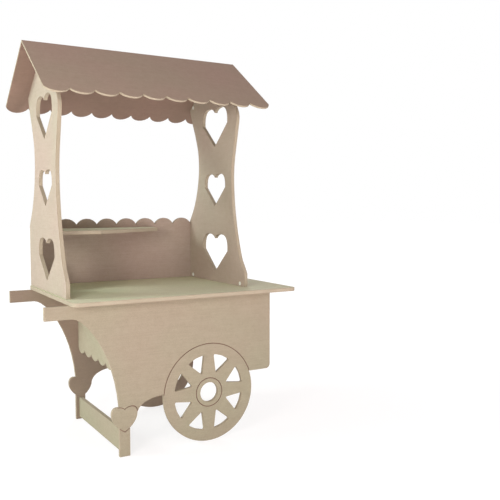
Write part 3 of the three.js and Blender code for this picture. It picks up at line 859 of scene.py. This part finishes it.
@dataclass
class Display:
    """Posts, back panel and shelf."""

    posts: tuple[str, ...] = ("left_post", "right_post")
    back: str = "back_panel"
    shelf: str = "shelf"

    def build(self, finishes: Finishes) -> list[bpy.types.Object]:
        """Builds the boards between tabletop and roof.

        Args:
            finishes: Where the materials come from.

        Returns:
            The finished pieces.
        """
        faces = {node: finishes.post_face_painted_light for node in self.posts}
        faces[self.back] = finishes.back_face_painted_light
        # The shelf gets the tabletop's face with painted light and sheen.
        faces[self.shelf] = finishes.top_face_painted_light
        return build_boards(faces, finishes)


@dataclass
class Roof:
    """The two roof boards, whose undersides get a darker copy of their face: painted shade."""

    boards: tuple[str, ...] = ("roof_front", "roof_back")

    def build(self, finishes: Finishes) -> list[bpy.types.Object]:
        """Builds the roof.

        Args:
            finishes: Where the materials come from.

        Returns:
            The finished pieces.
        """
        dressing = (finishes.roof_face_painted_shade, finishes.edge, finishes.line, finishes.roof_under_painted_shade)
        return [Board(node, *dressing).build(finishes) for node in self.boards]


@dataclass
class Fixings:
    """Cam caps, their bolts and the dowels."""

    weld: float = 0.05 * MILLIMETRE
    arris: float = 0.35 * MILLIMETRE

    def build(self, finishes: Finishes) -> list[bpy.types.Object]:
        """Builds every fixing after its kind.

        Args:
            finishes: Where the materials come from.

        Returns:
            The finished pieces.
        """
        kinds = {
            "_cam": (finishes.cap, "cam_plastic"),
            "_bolt": (finishes.steel, "bolt_steel"),
            "_dowel": (finishes.beech, "dowel_wood"),
        }
        pieces = []
        for node in sorted(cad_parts):
            for ending, (finish, slot) in kinds.items():
                if node.endswith(ending):
                    pieces.append(self.fixing(node, finishes.get(finish)))
        return pieces

    def fixing(self, node: str, material: bpy.types.Material) -> bpy.types.Object:
        """Builds one fixing with eased arrises.

        Args:
            node: Its CAD node.
            material: Its material.

        Returns:
            The finished piece.
        """
        piece = taken_over(node, f"{node}_piece", self.weld)
        ease(piece, self.arris, clamp=True)
        piece.data.materials.append(material)
        smooth(piece)
        return hand_over(piece, node)


@dataclass(frozen=True)
class Lamp:
    """A soft round lamp near the cart, which the camera doesn't show.

    Its strength is in watts for each square metre of its distance from the cart's middle.
    """

    name: str
    place: Place
    strength: float
    colour: Colour
    radius: float = 0.45
    cart_middle: Place = (0.0, 0.0, 1.0)

    def build(self) -> None:
        """Adds the lamp."""
        bpy.ops.object.select_all(action="DESELECT")
        bpy.ops.object.light_add(type="POINT", location=self.place)
        lamp = bpy.context.object
        lamp.name = self.name
        reach = Vector(self.place) - Vector(self.cart_middle)
        lamp.data.energy = self.strength * reach.length_squared
        lamp.data.color = self.colour
        lamp.data.shadow_soft_size = self.radius
        lamp.visible_camera = False


@dataclass
class Studio:
    """Camera, lamps, floor and surroundings.

    Seen directly, the floor glows white: by the share glow_near up to the distance near from
    the cart's middle, more and more from there on, and by glow_far from the distance far.
    """

    camera_place: Place = (-1.3911, -3.345, 1.1585)
    camera_yaw: float = -0.5392
    camera_pitch: float = 0.0667
    lens_mm: float = 50.28
    sensor_mm: float = 36.0
    lamps: tuple[Lamp, ...] = (
        Lamp("key_lamp", (-4.5, 0.5, 2.0), 7.3, (0.9, 1.0, 0.99)),
        Lamp("back_key_lamp", (-4.0, 1.2, 2.6), 14.2, (0.86, 1.0, 1.0)),
        Lamp("side_lamp", (-2.3, -2.2, 1.5), 16.8, (1.0, 0.99, 0.97)),
        Lamp("front_lamp", (-0.9, -1.8, 1.5), 1.7, (1.0, 0.98, 0.98)),
        Lamp("right_lamp", (0.5, -2.6, 0.55), 12.6, (1.0, 0.91, 0.96)),
        Lamp("roof_lamp", (-1.7, -1.5, 3.4), 1.9, UNTINTED),
        Lamp("rear_lamp", (2.0, 3.4, 0.9), 17.0, (0.98, 1.0, 0.98)),
    )
    floor_side: float = 60.0
    floor_grain: Grain = Grain(0.8, 2.0)
    floor_tones: Tones = ((0.3, (0.955, 0.935, 0.93)), (0.7, (0.965, 0.945, 0.94)))
    floor_roughness: float = 0.9
    floor_white: float = 1.1
    glow_near: float = 0.7
    glow_far: float = 1.0
    near: float = 0.8
    far: float = 4.0
    ambient: float = 0.53
    ambient_colour: Colour = (1.0, 0.89, 0.9)

    def build(self) -> None:
        """Sets up the whole studio."""
        self.camera()
        self.floor()
        for lamp in self.lamps:
            lamp.build()
        self.world()
        bpy.context.scene.view_settings.view_transform = "Standard"

    def camera(self) -> None:
        """Puts the camera where the photograph was taken."""
        bpy.ops.object.select_all(action="DESELECT")
        turn = (math.pi / 2 - self.camera_pitch, 0.0, self.camera_yaw)
        bpy.ops.object.camera_add(location=self.camera_place, rotation=turn)
        camera = bpy.context.object
        camera.name = "photo_camera"
        camera.data.lens = self.lens_mm
        camera.data.sensor_width = self.sensor_mm
        camera.data.clip_end = self.floor_side * 2
        bpy.context.scene.camera = camera

    def floor(self) -> None:
        """Lays a plain pale floor that keeps the cart's shadow and glows white further out."""
        bpy.ops.object.select_all(action="DESELECT")
        bpy.ops.mesh.primitive_plane_add(size=self.floor_side, location=(0.0, 0.0, 0.0))
        floor = bpy.context.object
        floor.name = "studio_floor"
        coat = Coat("studio_white")
        coat.paint(coat.ramp(coat.noise(self.floor_grain), self.floor_tones))
        coat.fix("Roughness", self.floor_roughness)
        glow = coat.add("ShaderNodeEmission")
        glow.inputs["Strength"].default_value = self.floor_white
        reach = coat.add("ShaderNodeVectorMath", operation="LENGTH")
        coat.join(coat.place, "Object", reach, 0)
        spread = coat.between(reach, "Value", self.glow_near, self.glow_far)
        spread.inputs["From Min"].default_value = self.near
        spread.inputs["From Max"].default_value = self.far
        glowing = coat.blend(spread, "Result", coat.shader, glow)
        shown = coat.blend(coat.seen_directly(), "Value", coat.shader, glowing)
        coat.join(shown, "Shader", coat.output, "Surface")
        floor.data.materials.append(coat.material)

    def world(self) -> None:
        """Lights the cart evenly from all round, and shows white to the camera."""
        world = bpy.data.worlds.new("studio_world")
        bpy.context.scene.world = world
        world.use_nodes = True
        nodes = Nodes(world.node_tree)
        soft = nodes.add("ShaderNodeBackground")
        soft.inputs["Color"].default_value = (*self.ambient_colour, 1.0)
        soft.inputs["Strength"].default_value = self.ambient
        white = nodes.add("ShaderNodeBackground")
        white.inputs["Color"].default_value = (*UNTINTED, 1.0)
        white.inputs["Strength"].default_value = 1.0
        shown = nodes.blend(nodes.seen_directly(), "Value", soft, white)
        output = nodes.add("ShaderNodeOutputWorld")
        nodes.join(shown, "Shader", output, "Surface")


def main() -> None:
    """Builds the studio and the cart in order and reports each piece."""
    logging.basicConfig(level=logging.INFO, format="%(name)s: %(message)s")
    Studio().build()
    finishes = Finishes()
    pieces = []
    for part in (Base(), Display(), Roof(), Fixings()):
        pieces.extend(part.build(finishes))
    log.info("%d pieces", len(pieces))


if __name__ == "__main__":
    main()
